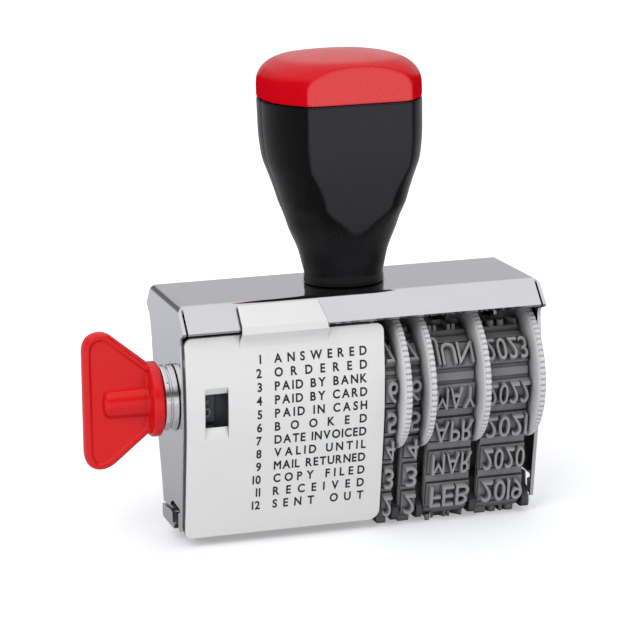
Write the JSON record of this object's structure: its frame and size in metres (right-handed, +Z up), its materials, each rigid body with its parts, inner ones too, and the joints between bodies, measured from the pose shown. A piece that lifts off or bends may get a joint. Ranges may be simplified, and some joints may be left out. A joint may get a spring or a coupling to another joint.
{
  "type": "rotary date stamp",
  "caption": "Hand-held rotary date stamp: folded metal chassis with round handle, thumb wheels and rubber type bands, and a winged knob that sets a phrase band behind an index cover",
  "frame": {"origin": "on the printing face (Z = 0) under the middle of the handle", "axes": "+Z up through the handle, X along the stamp with the setting knob at -X, -Y is the front with the index cover and the readable side of the bands"},
  "size_m": [0.0787, 0.0308, 0.0807],
  "materials": {
    "plated_sheet": "bright nickel or chrome plate on folded sheet",
    "plated_bar": "plated bar",
    "plated_bush": "turned and plated",
    "plain_steel": "plain steel, lightly oiled",
    "white_cover": "satin moulded plastic",
    "black_handle": "smooth black plastic",
    "red_cap": "satin red plastic",
    "red_knob": "glossy red plastic",
    "dark_drum": "moulded slate grey plastic",
    "band_rubber": "matte grey type rubber",
    "wheel_plastic": "light grey moulded plastic, finely knurled rim"
  },
  "bodies": {
    "chassis": {"chassis_frame": "plated_sheet", "divider_plate": "plain_steel", "platen_bar": "plated_bar", "index_cover": "white_cover", "handle_body": "black_handle", "handle_cap": "red_cap", "handle_screw": "plain_steel", "handle_washer": "plain_steel", "main_axle": "plain_steel", "axle_washer": "plain_steel", "knob_bush": "plated_bush", "bush_nut": "plain_steel", "phrase_band": "band_rubber", "day_tens_band": "band_rubber", "day_units_band": "band_rubber", "month_band": "band_rubber", "year_band": "band_rubber"},
    "phrase_setting": {"setting_knob": "red_knob", "knob_stem": "plain_steel", "stem_clip": "plain_steel", "phrase_drum": "dark_drum"},
    "day_tens": {"day_tens_wheel": "wheel_plastic"},
    "day_units": {"day_units_wheel": "wheel_plastic"},
    "month": {"month_wheel": "wheel_plastic"},
    "year": {"year_wheel": "wheel_plastic"}
  },
  "joints": [
    {"name": "phrase_knob_turn", "type": "hinge", "parent": "chassis", "child": "phrase_setting", "pos_m": [-0.034, -0.0046, 0.0255], "axis": [1, 0, 0], "continuous": true},
    {"name": "day_tens_turn", "type": "hinge", "parent": "chassis", "child": "day_tens", "pos_m": [0.006, -0.0046, 0.0255], "axis": [1, 0, 0], "continuous": true},
    {"name": "day_units_turn", "type": "hinge", "parent": "chassis", "child": "day_units", "pos_m": [0.0103, -0.0046, 0.0255], "axis": [1, 0, 0], "continuous": true},
    {"name": "month_turn", "type": "hinge", "parent": "chassis", "child": "month", "pos_m": [0.0197, -0.0046, 0.0255], "axis": [1, 0, 0], "continuous": true},
    {"name": "year_turn", "type": "hinge", "parent": "chassis", "child": "year", "pos_m": [0.0293, -0.0046, 0.0255], "axis": [1, 0, 0], "continuous": true}
  ]
}
